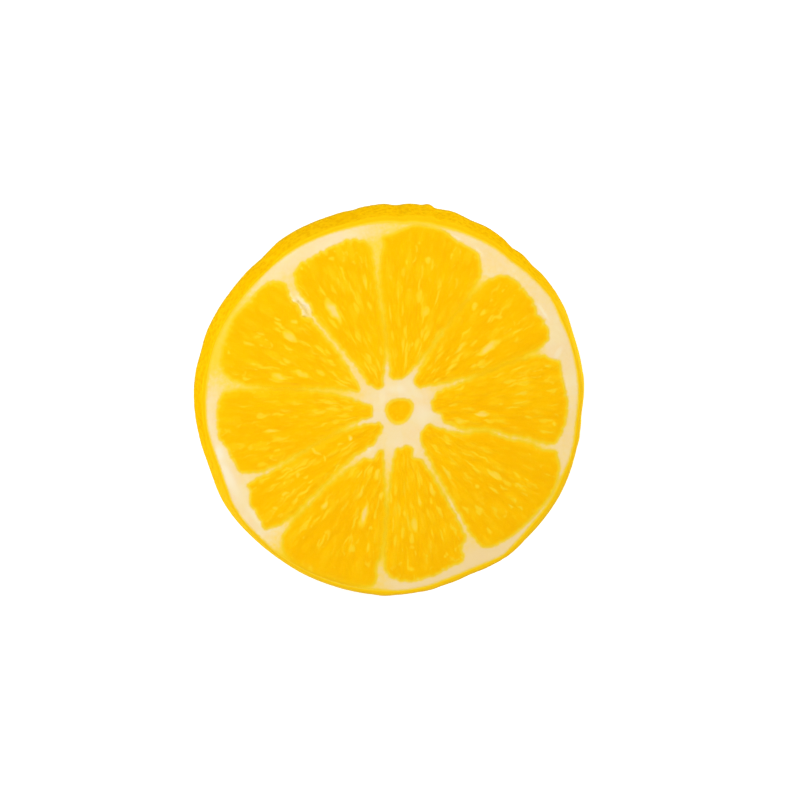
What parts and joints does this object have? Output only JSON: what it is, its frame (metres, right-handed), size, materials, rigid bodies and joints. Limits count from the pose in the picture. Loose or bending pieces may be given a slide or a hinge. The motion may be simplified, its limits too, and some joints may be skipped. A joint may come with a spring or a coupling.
{
  "type": "lemon slice",
  "caption": "Round slice of a fresh lemon with golden flesh in wedges, pale pith and thin yellow peel, lying flat on one cut face.",
  "frame": {"origin": "under the middle of the slice, on the surface that its lower cut face lies on", "axes": "+Z out of the upper cut face, across the slice's thickness; +X to the right and +Y up the face as it is usually seen"},
  "size_m": [0.0624, 0.0626, 0.006],
  "materials": {
    "flesh": "wet juicy golden yellow flesh",
    "pith": "soft cream pith and membranes",
    "peel": "waxy yellow peel with fine oil glands"
  },
  "bodies": {
    "root": {"lemon_slice": "flesh"}
  },
  "joints": []
}
